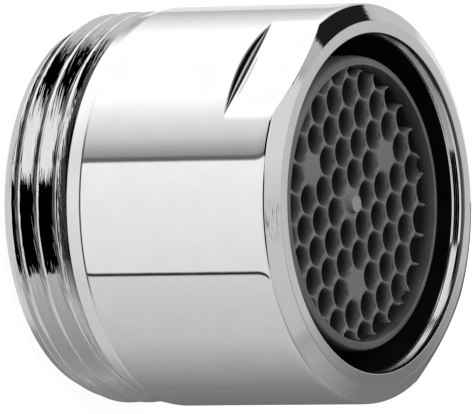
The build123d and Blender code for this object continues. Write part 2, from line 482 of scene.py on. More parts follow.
def tinted(tree, value, dark, light):
    """A colour between two, by a noise that keeps mostly to the middle of its range."""
    return blended(tree, ranged(tree, value, 0.0, 1.0), dark, light)


def noise(tree, values, **settings):
    return Wire(add_node(tree, "ShaderNodeTexNoise", values, **settings).outputs["Fac"])


def new_effect(name, inputs, outputs):
    """Starts a shader node group with named numbers in and out."""
    sides = [dict.fromkeys(names, "Float") for names in (inputs, outputs)]
    return new_tree(name, "ShaderNodeTree", *sides)


def add_effect(tree, group, values):
    """Places a shared effect in a material with its own values, and returns its outputs as wires."""
    node = add_node(tree, "ShaderNodeGroup", values, node_tree=group)
    return [Wire(socket) for socket in node.outputs]


def fine_grain_effect():
    """A fine height and broad patches, for moulded and plated surfaces."""
    group, given = new_effect("fine_grain", ("Grain Size", "Patch Size"), ("Height", "Patches"))
    place = Wire(group.nodes.new("ShaderNodeTexCoord").outputs["Object"])
    results = {}
    for result, size, detail in (("Height", "Grain Size", 3.0), ("Patches", "Patch Size", 2.0)):
        scale = given[size].math("POWER", -1.0)
        results[result] = noise(group, {"Vector": place, "Scale": scale, "Detail": detail})
    add_node(group, "NodeGroupOutput", results)
    return group


def tool_rings_effect():
    """The fine rings that a cutting tool leaves on what it turns."""
    group, given = new_effect("tool_rings", ("Ring Width",), ("Rings",))
    _, _, z = place_on_surface(group)
    values = {"W": z, "Scale": given["Ring Width"].math("POWER", -1.0), "Detail": 2.0}
    add_node(group, "NodeGroupOutput", {"Rings": noise(group, values, noise_dimensions="1D")})
    return group


def light_side_effect():
    """One on the thread's lower side as the camera sees it, where the painted shade in the grooves gives
    way to painted light, or else zero.
    """
    group, given = new_effect("light_side", ("Jitter",), ("Washed",))
    x, y, _ = place_on_surface(group)
    aside = sideways(x, y, ASIDE) / THREAD_RADIUS + (given["Jitter"] - 0.5) * LIGHT_SIDE_JITTER
    lower_side_light = ranged(group, aside, 1.0, 0.0, LIGHT_SIDE_FULLY, LIGHT_SIDE_FROM)
    add_node(group, "NodeGroupOutput", {"Washed": lower_side_light})
    return group


def depth_shade_effect():
    """One at a face, and less with the depth below it, where painted shade darkens the hollows."""
    group, given = new_effect("depth_shade", ("Face Height",), ("Rubbed",))
    _, _, z = place_on_surface(group)
    unshaded_share = ranged(group, z - given["Face Height"], 0.0, 1.0, -FULL_SHADE_DEPTH, -SHADE_START_DEPTH)
    add_node(group, "NodeGroupOutput", {"Rubbed": unshaded_share})
    return group


FINE_GRAIN = fine_grain_effect()
TOOL_RINGS = tool_rings_effect()
LIGHT_SIDE = light_side_effect()
DEPTH_SHADE = depth_shade_effect()


def new_finish(name, **values):
    """A material with its own shader, and the shader's plain values set on its sockets."""
    material = bpy.data.materials.new(name)
    material.use_nodes = True
    tree = material.node_tree
    shader = tree.nodes["Principled BSDF"]
    for key, value in values.items():
        shader.inputs[key.replace("_", " ")].default_value = value
    return material, tree, shader


def dress(tree, shader, colour, roughness, height, depth):
    """Gives a shader its colour, its roughness and a relief with this depth in metres."""
    relief = add_wire(tree, "ShaderNodeBump", {"Height": height, "Distance": depth, "Strength": 1.0})
    for name, wire in (("Base Color", colour), ("Roughness", roughness), ("Normal", relief)):
        tree.links.new(wire.socket, shader.inputs[name])


def polished_chrome():
    material, tree, shader = new_finish("polished_chrome", Metallic=1.0)
    height, patches = add_effect(tree, FINE_GRAIN, {"Grain Size": 3.0 * MM, "Patch Size": 1.2 * MM})
    colour = tinted(tree, patches, grey(0.785), grey(0.815))
    dress(tree, shader, colour, ranged(tree, patches, 0.015, 0.04), height, 0.002 * MM)
    return material


def cut_chrome():
    """Plated thread with the ragged lines that the cutting tool leaves along it, and with painted shade at
    its root.
    """
    material, tree, shader = new_finish("cut_chrome", Metallic=1.0)
    x, y, z = place_on_surface(tree)
    phase = z * (2 * math.pi / THREAD_PITCH) - y.math("ARCTAN2", x)
    place = joined_xyz(
        tree,
        phase.math("COSINE") * STREAKS_ACROSS + x * STREAKS_ALONG,
        phase.math("SINE") * STREAKS_ACROSS + y * STREAKS_ALONG,
        z * STREAKS_ALONG,
    )
    streaks = noise(tree, {"Vector": place, "Scale": 1.0, "Detail": 2.0, "Roughness": 0.6})
    shade_patches = noise(tree, {"Vector": place, "Scale": SHADE_PATCH_SCALE, "Detail": 1.0})
    ragged = off_axis(x, y) + (streaks - 0.5) * ROOT_JITTER
    root = THREAD_RADIUS - THREAD_DEPTH
    above_root = ranged(tree, ragged, 0.0, 1.0, root + ROOT_SHADE_HEIGHT, root + ROOT_UNSHADED_HEIGHT)
    # painted light: on the thread's lower side the root's painted shade is left off
    lower_side_light, = add_effect(tree, LIGHT_SIDE, {"Jitter": shade_patches})
    on_thread = z > INLET_Z + CHAMFER_CLEAN_LENGTH
    unshaded = (above_root.math("MAXIMUM", lower_side_light).flipped() * on_thread).flipped()
    # painted shade: the thread's root is painted near black, in patches
    painted_root_shade = tinted(tree, shade_patches, grey(0.0), grey(0.2))
    bright = tinted(tree, streaks, grey(0.76), grey(0.83))
    colour = blended(tree, unshaded, painted_root_shade, bright)
    dress(tree, shader, colour, ranged(tree, streaks, 0.02, 0.06), streaks, 0.026 * MM)
    return material


def scratches_and_reflection_streaks(tree):
    """One on short dark marks on the lip's cone, and zero elsewhere: scratches in shape, kept as a painted
    reflection to a band on the camera's side.
    """
    x, y, z = place_on_surface(tree)
    around = y.math("ARCTAN2", x) * (BODY_RADIUS / SCRATCH_LENGTH)
    place = joined_xyz(tree, around, z / SCRATCH_WIDTH, 0.0)
    streaks = noise(tree, {"Vector": place, "Scale": 1.0, "Detail": 1.0})
    marks = ranged(tree, streaks, 0.0, 1.0, SCRATCH_FROM, SCRATCH_FULLY)
    # painted reflection: the marks keep to a band on the near side, placed as the camera sees it
    from_middle = (sideways(x, y, ASIDE) / BODY_RADIUS - REFLECTION_STREAKS_PLACE).math("ABSOLUTE")
    here = ranged(tree, from_middle, 1.0, 0.0, REFLECTION_STREAKS_HALF, REFLECTION_STREAKS_END)
    on_near_side = sideways(x, y, NEAR) > 0.0
    below_lip = z < SCRATCHED_TOP
    return marks * here * on_near_side * below_lip


def turned_chrome(name, dark, light, roughness, ring_width, depth, lower_side_light=None, scratch_and_reflection_tone=None):
    """Plated metal with tool rings, with a painted light tone on the lower side and scratch marks kept as
    a painted reflection.
    """
    material, tree, shader = new_finish(name, Metallic=1.0)
    rings, = add_effect(tree, TOOL_RINGS, {"Ring Width": ring_width})
    colour = tinted(tree, rings, grey(dark), grey(light))
    if lower_side_light:
        share, = add_effect(tree, LIGHT_SIDE, {"Jitter": rings})
        colour = blended(tree, share, colour, grey(lower_side_light))
    if scratch_and_reflection_tone:
        colour = blended(tree, scratches_and_reflection_streaks(tree), colour, grey(scratch_and_reflection_tone))
    dress(tree, shader, colour, ranged(tree, rings, *roughness), rings, depth)
    return material


def moulding(name, dark, light, roughness, grain, depth, sheen=0.5, face_z=None):
    """Moulded plastic or rubber, with painted shade that darkens it with depth below a face, where it has
    one.
    """
    material, tree, shader = new_finish(name, Specular_IOR_Level=sheen)
    height, patches = add_effect(tree, FINE_GRAIN, grain)
    colour = tinted(tree, patches, dark, light)
    if face_z is not None:
        unshaded_share, = add_effect(tree, DEPTH_SHADE, {"Face Height": face_z})
        colour = blended(tree, unshaded_share, grey(dark[0] * FULL_SHADE_SHARE), colour)
    dress(tree, shader, colour, ranged(tree, height, *roughness), height, depth)
    return material


def black_moulding(name, dark, light, roughness, sheen, face_z=None):
    grain = {"Grain Size": 0.06 * MM, "Patch Size": 1.5 * MM}
    return moulding(name, grey(dark), grey(light), roughness, grain, 0.003 * MM, sheen, face_z)


def natural_moulding():
    grain = {"Grain Size": 0.08 * MM, "Patch Size": 2.0 * MM}
    tones = (0.66, 0.66, 0.63, 1), (0.74, 0.74, 0.71, 1)
    return moulding("natural_moulding", *tones, (0.36, 0.5), grain, 0.003 * MM)


def washer_rubber():
    grain = {"Grain Size": 0.12 * MM, "Patch Size": 1.0 * MM}
    tones = (0.035, 0.035, 0.036, 1), (0.06, 0.06, 0.061, 1)
    return moulding("washer_rubber", *tones, (0.6, 0.8), grain, 0.006 * MM)


CHROME = polished_chrome()
CUT = cut_chrome()
# the marks on the lip's cone are scratches placed as a painted reflection
FACED = turned_chrome("faced_chrome", 0.785, 0.815, (0.02, 0.05), 0.05 * MM, 0.003 * MM, scratch_and_reflection_tone=0.3)
BORE = turned_chrome("bored_chrome", 0.68, 0.82, (0.05, 0.12), 0.09 * MM, 0.004 * MM)
# painted shade: the relief groove is near black, with a painted light tone on its lower side
GROOVE = turned_chrome("grooved_chrome", 0.04, 0.1, (0.05, 0.12), 0.09 * MM, 0.004 * MM, lower_side_light=0.75)
BLACK = black_moulding("black_moulding", 0.08, 0.1, (0.28, 0.38), 0.5)
# painted shade: the comb darkens with depth below its face, into the funnels
COMB = black_moulding("depth_shaded_black_moulding", 0.088, 0.11, (0.2, 0.28), 0.9, FACE_Z)
# painted shade: the rim's inner wall darkens with depth below the rim's top
RIM_WALL = black_moulding("shaded_black_moulding", 0.08, 0.13, (0.28, 0.38), 0.5, RIM_Z)
# painted highlight: the gate stub is a lighter grey than the black moulding
STUB_HIGHLIGHT = black_moulding("highlit_stub_moulding", 0.18, 0.24, (0.4, 0.5), 0.5)
# painted shade: the cartridge sleeve is near black so that the gap behind the mouth shows black
DEEP_BLACK = black_moulding("deep_black_moulding", 0.003, 0.006, (0.28, 0.38), 0.1)
NATURAL = natural_moulding()
RUBBER = washer_rubber()


# Housing

THREAD_TOP_Z = LIP_Z - BODY_LENGTH - REAR_BEVEL_LENGTH - RELIEF_WIDTH


def helical_thread_tree(sizes, counts):
    """A tube with a thread cut in it: rows that climb one pitch a turn, from the inlet end to the relief.
    Each turn starts with its crest, and both ends come down to a plain ring."""
    tree, given = new_shape_tree("helical_thread", sizes, counts)
    rows = given["Turns"] * given["Rows per Turn"] + 1.0
    grid, around, up = unit_grid(tree, given["Columns"] + 1.0, rows)
    turns = up * given["Turns"]
    lowest = given["Start"] + given["Crest Share"] * 0.5 + THREAD_LEAD_IN
    climb = (turns + around - lowest) * given["Pitch"] + given["Low"]
    height = climb.math("MAXIMUM", given["Low"]).math("MINIMUM", given["High"])
    past_crest = (turns + THREAD_NUDGE).math("FRACT") - THREAD_NUDGE - given["Crest Share"]
    inlet_flank = given["Inlet Flank Share"]
    groove = given["Crest Share"].flipped()
    down = (past_crest / (groove - given["Root Share"] - inlet_flank)).clamped()
    up_again = ((groove - past_crest) / inlet_flank).clamped()
    cut = given["Crest Radius"] - down.math("MINIMUM", up_again) * given["Depth"]
    chamfer_slope = (given["Crest Radius"] - given["Chamfer Foot Radius"]) / given["Chamfer Length"]
    chamfer = given["Chamfer Foot Radius"] + (height - given["Low"]) * chamfer_slope
    run_out = given["Relief Radius"] + (given["High"] - height) * given["Run-out Slope"]
    radius = cut.math("MINIMUM", chamfer).math("MINIMUM", run_out)
    thread = welded(tree, moved(tree, grid, round_axis(tree, radius, around, height)))
    finish_shape_tree(tree, thread, CUT)
    return tree


def housing_thread():
    turns = math.ceil((THREAD_TOP_Z - INLET_Z) / THREAD_PITCH + THREAD_START + THREAD_LEAD_IN) + 1
    sizes = {
        "Crest Radius": THREAD_RADIUS,
        "Depth": THREAD_DEPTH,
        "Relief Radius": RELIEF_RADIUS,
        "Chamfer Foot Radius": CHAMFER_FOOT_RADIUS,
        "Chamfer Length": CHAMFER_LENGTH,
        "Run-out Slope": RUN_OUT_SLOPE,
        "Pitch": THREAD_PITCH,
        "Crest Share": THREAD_CREST_SHARE,
        "Root Share": THREAD_ROOT_SHARE,
        "Inlet Flank Share": THREAD_INLET_FLANK_SHARE,
        "Start": THREAD_START,
        "Low": INLET_Z,
        "High": THREAD_TOP_Z,
    }
    counts = {"Columns": COLUMNS, "Turns": turns, "Rows per Turn": THREAD_ROWS_PER_TURN}
    return grow("housing_thread", helical_thread_tree(sizes, counts), sizes | counts)


def mouth_wall():
    """Rings of the mouth wall below its smooth part: grooves whose long sides lean towards the outlet."""
    pitch = (MOUTH_LENGTH - MOUTH_PLAIN_LENGTH) / len(MOUTH_GROOVE_LEANS)
    rings = []
    for groove, lean in enumerate(MOUTH_GROOVE_LEANS):
        start = (MOUTH_RADIUS + pitch * math.tan(lean), LIP_Z - MOUTH_PLAIN_LENGTH - groove * pitch)
        end = (MOUTH_RADIUS, start[1] - MOUTH_GROOVE_SIDE * pitch)
        rings += [toward(start, end, share) for share in GROOVE_SHARES]
    return rings


def housing_shell():
    """Everything on the housing but the thread, from the relief over the lip and down the bore."""
    facing = np.maximum(np.abs(COLUMN_X), LEAST_FACING)
    flat_edge = FLAT_DISTANCE / facing
    blend = FLAT_EDGE_BLEND * np.log1p(np.exp(-np.abs(flat_edge - BODY_RADIUS) / FLAT_EDGE_BLEND))
    edge = np.minimum(flat_edge, BODY_RADIUS) - blend
    flat_z = LIP_Z - FLAT_LENGTH
    wall_run = np.maximum(BODY_RADIUS * facing - FLAT_DISTANCE, 0) * math.tan(FLAT_WALL_LEAN)
    cone_slope = LIP_CONE_LENGTH / (BODY_RADIUS - LIP_OUTER_RADIUS)
    cone_radius = np.minimum(edge, BODY_RADIUS - POLISHED_END * math.tan(POLISHED_LEAN))
    lip_edge_z = LIP_Z - (LIP_OUTER_RADIUS - MOUTH_RADIUS) * math.tan(LIP_LEAN)
    cone_z = lip_edge_z - (cone_radius - LIP_OUTER_RADIUS) * cone_slope
    bend_z = np.min(cone_z) - POLISHED_END
    body_z = LIP_Z - BODY_LENGTH
    rear_z = body_z - REAR_BEVEL_LENGTH
    mouth_z = LIP_Z - MOUTH_LENGTH
    small = EDGE_ROUNDING
    cone_edge = np.where(flat_edge < BODY_RADIUS, FLAT_TIP_ROUNDING, small)
    outside = section([
        (RELIEF_RADIUS, THREAD_TOP_Z, 0, 0, 1),
        (RELIEF_RADIUS, rear_z, small, small, 3),
        (BODY_RADIUS - REAR_BEVEL_DROP, rear_z, small, small, 4),
        (BODY_RADIUS, body_z, BEVEL_ROUNDING, BEVEL_ROUNDING, 5),
        (BODY_RADIUS, flat_z - wall_run, small, small, 4),
        (edge, flat_z, FLAT_FOOT_RISE, FLAT_FOOT_RUN, 6),
        (edge, bend_z, POLISHED_START, POLISHED_END, 8),
        (cone_radius, cone_z, cone_edge, cone_edge, 4),
        (LIP_OUTER_RADIUS, lip_edge_z, LIP_ROUNDING, LIP_ROUNDING, 4),
        (MOUTH_RADIUS, LIP_Z, LIP_ROUNDING, LIP_ROUNDING, 3),
        (MOUTH_RADIUS, LIP_Z - MOUTH_PLAIN_LENGTH, 0, 0, 1),
    ])
    inside = section([
        (MOUTH_RADIUS, mouth_z, 0, 0, 1),
        (BORE_RADIUS, mouth_z, 0, 0, 1),
        (BORE_RADIUS, INLET_Z, small, small, 3),
        (CHAMFER_FOOT_RADIUS, INLET_Z, 0, 0, 1),
    ])
    rings = outside + mouth_wall() + inside
    finishes = (CHROME, BORE, GROOVE, FACED)
    bore_end = BORE_RADIUS + small / 4

    def paint(ring):
        """The bore's finish ends in the rounding at the inlet, and the lip's starts at its cone."""
        radius, height = rings[ring]
        if ring >= len(outside):
            finish = BORE if radius < bore_end else CHROME
        elif np.max(height) < rear_z + WELD:
            finish = GROOVE
        else:
            finish = FACED if np.min(height) > np.min(cone_z) - WELD else CHROME
        return finishes.index(finish)

    return turned_mesh("housing_shell", rings, finishes, closed=False, ring_material=paint)


def make_housing():
    finishes = (CHROME, CUT, BORE, GROOVE, FACED)
    mesh = joined_mesh("aerator_housing", [housing_shell(), housing_thread()], finishes)
    add_piece("aerator_housing", mesh, "housing")


# Honeycomb plug

CELL_COLUMNS = 24
FUNNEL_STEPS = 7


def cell_edge(around, given):
    """Distance from a cell's middle to its six-sided border, and the funnel's slant there."""
    sixth = math.pi / 3
    wedge = ((around * 6.0 + 0.5).math("FRACT") - 0.5) * sixth
    border = given["Pitch"] * 0.5 / wedge.math("COSINE")
    inside = (given["Flat Radius"] - border) / (given["Flat Radius"] - given["Throat Radius"])
    return border, inside.clamped().math("ARCSINE")


def funnel_tile(tree, given):
    """One cell. Its rows are its border on the face, the funnel, and the throat and border on its back."""
    last_row = FUNNEL_STEPS + 3
    grid, around, up = unit_grid(tree, CELL_COLUMNS + 1, last_row + 1)
    row = up * float(last_row)
    border, slant = cell_edge(around, given)
    share = ((row - 1.0) / float(FUNNEL_STEPS)).clamped()
    bend = slant + (slant * -1.0 + math.pi / 2) * share
    wall = given["Flat Radius"] - (given["Flat Radius"] - given["Throat Radius"]) * bend.math("SINE")
    at_border = (row < 0.5) + (row > last_row - 0.5)
    reach = border * at_border + wall * at_border.flipped()
    at_back = row > last_row - 1.5
    drop = (bend.math("COSINE") - 1.0) * given["Funnel Depth"]
    height = drop * at_back.flipped() - given["Thickness"] * at_back
    return moved(tree, grid, round_axis(tree, reach, around, height))


def pad_tile(tree, given):
    """A blank site: a flat pad whose border follows the cells beside it.
    Its rows are its border, two steps in, its middle, and the middle and border on its back."""
    last_row = 5
    grid, around, up = unit_grid(tree, CELL_COLUMNS + 1, last_row + 1)
    row = up * float(last_row)
    border, slant = cell_edge(around, given)
    inset = row.math("MINIMUM", 2.0) * given["Pad Edge"]
    at_back_border = row > last_row - 0.5
    reach = (border - inset) * (row < 2.5) + border * at_back_border
    rise = (row * -0.5 + 1.0).clamped().math("POWER", 2.0)
    drop = (slant.math("COSINE") - 1.0) * given["Funnel Depth"] * rise
    height = drop - given["Thickness"] * (row > last_row - 1.5)
    return moved(tree, grid, round_axis(tree, reach, around, height))


def without_far(tree, geometry, reach, domain):
    """A geometry without the points or faces that lie out of reach of the axis."""
    x, y, _ = place_of_points(tree)
    values = {"Geometry": geometry, "Selection": off_axis(x, y) > reach}
    return add_wire(tree, "GeometryNodeDeleteGeometry", values, domain=domain)


def comb_sites(tree, given, reach):
    """Lattice sites inside the rim, each with a mark that says whether it is blank."""
    values = {}
    for side in "XY":
        values["Size " + side] = float(LATTICE_SPAN)
        values["Vertices " + side] = LATTICE_SPAN + 1
    lattice = add_wire(tree, "GeometryNodeMeshGrid", values)
    row, column, _ = place_of_points(tree)
    blank = None
    for blank_row, blank_column in COMB_BLANK_SITES:
        off = (row - float(blank_row)).math("ABSOLUTE") + (column - float(blank_column)).math("ABSOLUTE")
        here = off < 0.5
        blank = here if blank is None else blank + here
    values = {"Geometry": lattice, "Name": "blank", "Value": blank}
    kinds = {"data_type": "FLOAT", "domain": "POINT"}
    marked = add_wire(tree, "GeometryNodeStoreNamedAttribute", values, **kinds)
    along = (row + column * 0.5) * given["Pitch"]
    across = column * (math.sqrt(3) / 2) * given["Pitch"]
    cosine = given["Turn"].math("COSINE")
    sine = given["Turn"].math("SINE")
    position = joined_xyz(tree, along * cosine - across * sine, along * sine + across * cosine, 0.0)
    return without_far(tree, moved(tree, marked, position), reach, "POINT")


def outlet_comb_tree(sizes):
    """The grid of cells: tiles on a three-way lattice, cut off round, with a fillet at the rim's wall."""
    tree, given = new_shape_tree("outlet_comb", sizes)
    sites = comb_sites(tree, given, given["Reach"] + given["Pitch"] * COMB_SPARE)
    mark = add_node(tree, "GeometryNodeInputNamedAttribute", {"Name": "blank"}, data_type="FLOAT")
    blank = Wire(mark.outputs["Attribute"])
    turn = joined_xyz(tree, 0.0, 0.0, given["Turn"])
    whole = tree.nodes.new("GeometryNodeJoinGeometry")
    for tile, chosen in ((funnel_tile, blank.flipped()), (pad_tile, blank)):
        values = {"Points": sites, "Selection": chosen, "Instance": tile(tree, given), "Rotation": turn}
        copies = add_wire(tree, "GeometryNodeInstanceOnPoints", values)
        tree.links.new(copies.socket, whole.inputs[0])
    real = add_wire(tree, "GeometryNodeRealizeInstances", {"Geometry": Wire(whole.outputs[0])})
    trimmed = without_far(tree, welded(tree, real), given["Reach"], "FACE")
    x, y, z = place_of_points(tree)
    distance = off_axis(x, y)
    shrink = given["Reach"] / distance.math("MAXIMUM", given["Reach"])
    fillet = given["Wall Fillet"]
    into = ((distance - (given["Reach"] - fillet)) / fillet).clamped()
    lift = (into * into).flipped().math("SQRT").flipped() * fillet
    near_face = (z / given["Funnel Depth"] + 1.0).clamped()
    height = z + lift * near_face * near_face + given["Face Height"]
    position = joined_xyz(tree, x * shrink, y * shrink, height)
    finish_shape_tree(tree, moved(tree, trimmed, position), COMB)
    return tree


def outlet_comb():
    sizes = {
        "Pitch": CELL_PITCH,
        "Throat Radius": CELL_THROAT_RADIUS,
        "Flat Radius": CELL_FLAT_RADIUS,
        "Funnel Depth": CELL_FUNNEL_DEPTH,
        "Thickness": GRID_THICKNESS,
        "Pad Edge": PAD_EDGE,
        "Reach": RIM_INNER_RADIUS + COMB_INTO_WALL,
        "Wall Fillet": COMB_WALL_FILLET,
        "Turn": COMB_TURN,
        "Face Height": FACE_Z,
    }
    return grow("outlet_comb", outlet_comb_tree(sizes), sizes)


def plug_rim():
    """The ring round the cells and the skirt behind it."""
    back_z = FACE_Z - GRID_THICKNESS
    small = EDGE_ROUNDING
    shoulder = RIM_SHOULDER_SHARE * (PLUG_RADIUS - RIM_EDGE_RADIUS)
    rings = section([
        (PLUG_RADIUS, PLUG_LOW.z, small, small, 3),
        (SKIRT_INNER_RADIUS, PLUG_LOW.z, small, small, 3),
        (SKIRT_INNER_RADIUS, back_z, 0, 0, 1),
        (RIM_INNER_RADIUS, back_z, 0, 0, 1),
        (RIM_INNER_RADIUS, FACE_Z, small, small, 3),
        (RIM_EDGE_RADIUS - RIM_EDGE_FLAT, RIM_Z, RIM_ROUNDING, RIM_ROUNDING, 4),
        (RIM_EDGE_RADIUS, RIM_Z, RIM_ROUNDING, RIM_ROUNDING, 3),
        (PLUG_RADIUS, RIM_Z - RIM_SHOULDER_DROP, shoulder, RIM_SHOULDER_LENGTH, 10),
    ], closed=True)

    def paint(ring):
        return 1 if rings[ring][0] < RIM_EDGE_RADIUS - RIM_EDGE_FLAT else 0

    return turned_mesh("plug_rim", rings, (BLACK, RIM_WALL), ring_material=paint)


def gate_mark():
    """The small stub in the middle, where the moulding was broken off its runner."""
    top = FACE_Z + GATE_MARK_HEIGHT
    small = EDGE_ROUNDING
    rings = section([
        (0, FACE_Z - small, 0, 0, 1),
        (GATE_MARK_FOOT_RADIUS, FACE_Z - small, 0, 0, 1),
        (GATE_MARK_RADIUS, top, small, small, 4),
        (GATE_MARK_RADIUS * GATE_MARK_DISH_SHARE, top - GATE_MARK_DISH, small, small, 4),
        (0, top - GATE_MARK_DISH, 0, 0, 1),
    ])
    return turned_mesh("gate_mark", rings, (STUB_HIGHLIGHT,), closed=False)


def make_outlet_honeycomb():
    finishes = (COMB, BLACK, RIM_WALL, STUB_HIGHLIGHT)
    mesh = joined_mesh("honeycomb_plug", [outlet_comb(), plug_rim(), gate_mark()], finishes)
    add_piece("honeycomb_plug", mesh, "outlet_honeycomb")


# Washer and strainer

def make_sealing_washer():
    outer = WASHER_HIGH.x
    bend = WASHER_ROUNDING
    rings = section([
        (WASHER_INNER_RADIUS, WASHER_LOW.z, bend, bend, 6),
        (outer, WASHER_LOW.z, bend, bend, 6),
        (outer, WASHER_HIGH.z, bend, bend, 6),
        (WASHER_INNER_RADIUS, WASHER_HIGH.z, bend, bend, 6),
    ], closed=True)
    mesh = joined_mesh("rubber_washer", [turned_mesh("washer_ring", rings, (RUBBER,))], (RUBBER,))
    add_piece("rubber_washer", mesh, "sealing_washer")


def strainer_tree(sizes, counts):
    """Holes in rings, each ring with a few more than the one inside it, bored through the dome."""
    tree, given = new_shape_tree("strainer_holes", sizes, counts)
    values = {"Vertices": STRAINER_HOLE_SIDES, "Radius": given["Hole Radius"], "Depth": given["Height"]}
    drill = add_wire(tree, "GeometryNodeMeshCylinder", values)
    places = tree.nodes.new("GeometryNodeJoinGeometry")
    middle = add_wire(tree, "GeometryNodePoints", {"Count": 1})
    tree.links.new(middle.socket, places.inputs[0])
    for ring in range(1, STRAINER_RINGS + 1):
        holes = given["Holes per Step"] * float(ring)
        values = {"Vertices": holes, "Radius": given["Ring Pitch"] * float(ring)}
        circle = add_wire(tree, "GeometryNodeMeshCircle", values)
        dots = add_wire(tree, "GeometryNodeMeshToPoints", {"Mesh": circle})
        tree.links.new(dots.socket, places.inputs[0])
    values = {"Points": Wire(places.outputs[0]), "Instance": drill}
    drills = add_wire(tree, "GeometryNodeInstanceOnPoints", values)
    real = add_wire(tree, "GeometryNodeRealizeInstances", {"Geometry": drills})
    bored = add_node(tree, "GeometryNodeMeshBoolean", operation="DIFFERENCE", solver="EXACT")
    for index, shape in enumerate((given["Geometry"], real)):
        tree.links.new(shape.socket, bored.inputs[index])
    finish_shape_tree(tree, Wire(bored.outputs[0]), NATURAL)
    return tree


def dome_arc(foot, apex):
    """An arc from a foot (radius, height) to the apex on the axis, level at the apex."""
    rise = foot[1] - apex
    radius = (foot[0] ** 2 + rise ** 2) / (2 * rise)
    whole = math.asin(foot[0] / radius)
    arc = []
    for step in range(DOME_STEPS + 1):
        angle = whole * (1 - step / DOME_STEPS)
        arc.append((radius * math.sin(angle), apex + radius * (1 - math.cos(angle))))
    return arc


def make_strainer_dome():
    outer = STRAINER_HIGH.x
    flange_z = STRAINER_HIGH.z - STRAINER_FLANGE
    outside = dome_arc((DOME_RADIUS, flange_z), STRAINER_LOW.z)
    inside = dome_arc((DOME_RADIUS - DOME_WALL, STRAINER_HIGH.z), STRAINER_LOW.z + DOME_WALL)
    flange = [(outer, STRAINER_HIGH.z), (outer, flange_z)]
    rings = inside[::-1] + flange + outside
    dome = turned_mesh("dome", rings, (NATURAL,), closed=False)
    blank = joined_mesh("strainer_blank", [dome], (NATURAL,))
    sizes = {
        "Hole Radius": STRAINER_HOLE_RADIUS,
        "Ring Pitch": STRAINER_RING_PITCH,
        "Height": STRAINER_DRILL_HEIGHT,
    }
    counts = {"Holes per Step": STRAINER_HOLES_PER_STEP}
    mesh = grow("perforated_strainer", strainer_tree(sizes, counts), sizes | counts, blank)
    mesh.shade_smooth()
    mesh.set_sharp_from_angle(angle=DOME_SHARP_ANGLE)
    add_piece("perforated_strainer", mesh, "strainer_dome")


def dress_hidden_nodes():
    """The solids that stay as they are get a moulding's finish, darker where no light comes in."""
    for name, finish in (("cartridge_sleeve", DEEP_BLACK), ("jet_plate", BLACK)):
        for slot in frame["nodes"][name].material_slots:
            slot.material = finish


# Camera, floor and light

def add_camera():
    """The photograph shows the part lying on its side, so the camera is turned with it."""
    back = AXIS * math.cos(AXIS_TO_VIEW) + NEAR * math.sin(AXIS_TO_VIEW)
    level = AXIS * math.sin(AXIS_TO_VIEW) - NEAR * math.cos(AXIS_TO_VIEW)
    right = level * math.cos(ROLL) - ASIDE * math.sin(ROLL)
    up = level * math.sin(ROLL) + ASIDE * math.cos(ROLL)
    aim = AXIS * LIP_Z - (right * LIP_CENTRE_RIGHT + up * LIP_CENTRE_UP) * BODY_RADIUS
    data = bpy.data.cameras.new("camera")
    data.sensor_width = SENSOR_WIDTH
    data.lens = SENSOR_WIDTH * BODY_RADIUS_PX * CAMERA_DISTANCE / BODY_RADIUS / FRAME_WIDTH_PX
    data.clip_start = NEAREST_SEEN
    data.clip_end = FARTHEST_SEEN
    camera = add_object("camera", data)
    turn = Matrix((right, up, back)).transposed().to_4x4()
    camera.matrix_world = Matrix.Translation(aim + back * CAMERA_DISTANCE) @ turn
    bpy.context.scene.camera = camera


def ray_kinds(tree, *kinds):
    """A wire for each kind of ray, which is one for rays of that kind."""
    path = tree.nodes.new("ShaderNodeLightPath")
    return [Wire(path.outputs["Is " + kind + " Ray"]) for kind in kinds]


def add_floor():
    """A matt floor that the camera sees white, but for the spot that shows through the part's bores."""
    material = bpy.data.materials.new("pale_floor")
    material.use_nodes = True
    tree = material.node_tree
    tree.nodes.clear()
    matt = add_wire(tree, "ShaderNodeBsdfDiffuse", {"Color": grey(FLOOR_TONE)})
    x, y, _ = place_on_surface(tree)
    by_camera, = ray_kinds(tree, "Camera")
    fill = by_camera * (off_axis(x, y) > WASHER_INNER_RADIUS) * FLOOR_GLOW
    glow = add_wire(tree, "ShaderNodeEmission", {"Strength": fill})
    both = add_wire(tree, "ShaderNodeAddShader", {0: matt, 1: glow})
    add_node(tree, "ShaderNodeOutputMaterial", {0: both})
    mesh = bpy.data.meshes.new("floor")
    sides = ((-1, -1), (1, -1), (1, 1), (-1, 1))
    corners = [(across * FLOOR_HALF, back * FLOOR_HALF, 0) for across, back in sides]
    mesh.from_pydata(corners, [], [(0, 1, 2, 3)])
    mesh.materials.append(material)
    floor = add_object("floor", mesh)
    floor.visible_glossy = False


# Rows of studio cards for the chrome to show. A card is (first place, last place, grey level at both).
# Between two cards the grey runs from one to the next. Places are degrees round from the camera's side.
LOW_CARDS = (
    (-180, -130, 0.38, 0.48), (-130, -85, 0.48, 0.72), (-85, -40.2, 0.72, 0.8), (-39.9, -38.5, 0.0, 0.0),
    (-38.1, 26.6, 0.85, 0.93), (26.8, 27.9, 0.0, 0.0), (28.2, 40, 0.52, 0.78), (64, 121, 1.0, 1.0),
    (153, 153, 0.68, 0.68), (154.5, 180, 0.84, 0.86),
)
HORIZON_CARDS = (
    (-180, -152, 0.42, 0.46), (-77, -40, 0.58, 0.8), (-40, 26.5, 0.8, 0.93), (26.8, 44, 0.0, 0.0),
    (62, 100, 0.9, 0.85), (104, 180, 0.75, 0.73),
)
EYE_LEVEL_CARDS = (
    (-180, -177, 0.72, 0.72), (-174, -153, 0.46, 0.46), (-124, -114, 0.64, 0.57),
    (-100, -38.5, 0.54, 0.67), (-38, 24, 0.0, 0.0), (25, 71, 0.88, 0.88), (72, 101, 0.0, 0.0),
    (103, 180, 0.66, 0.72),
)
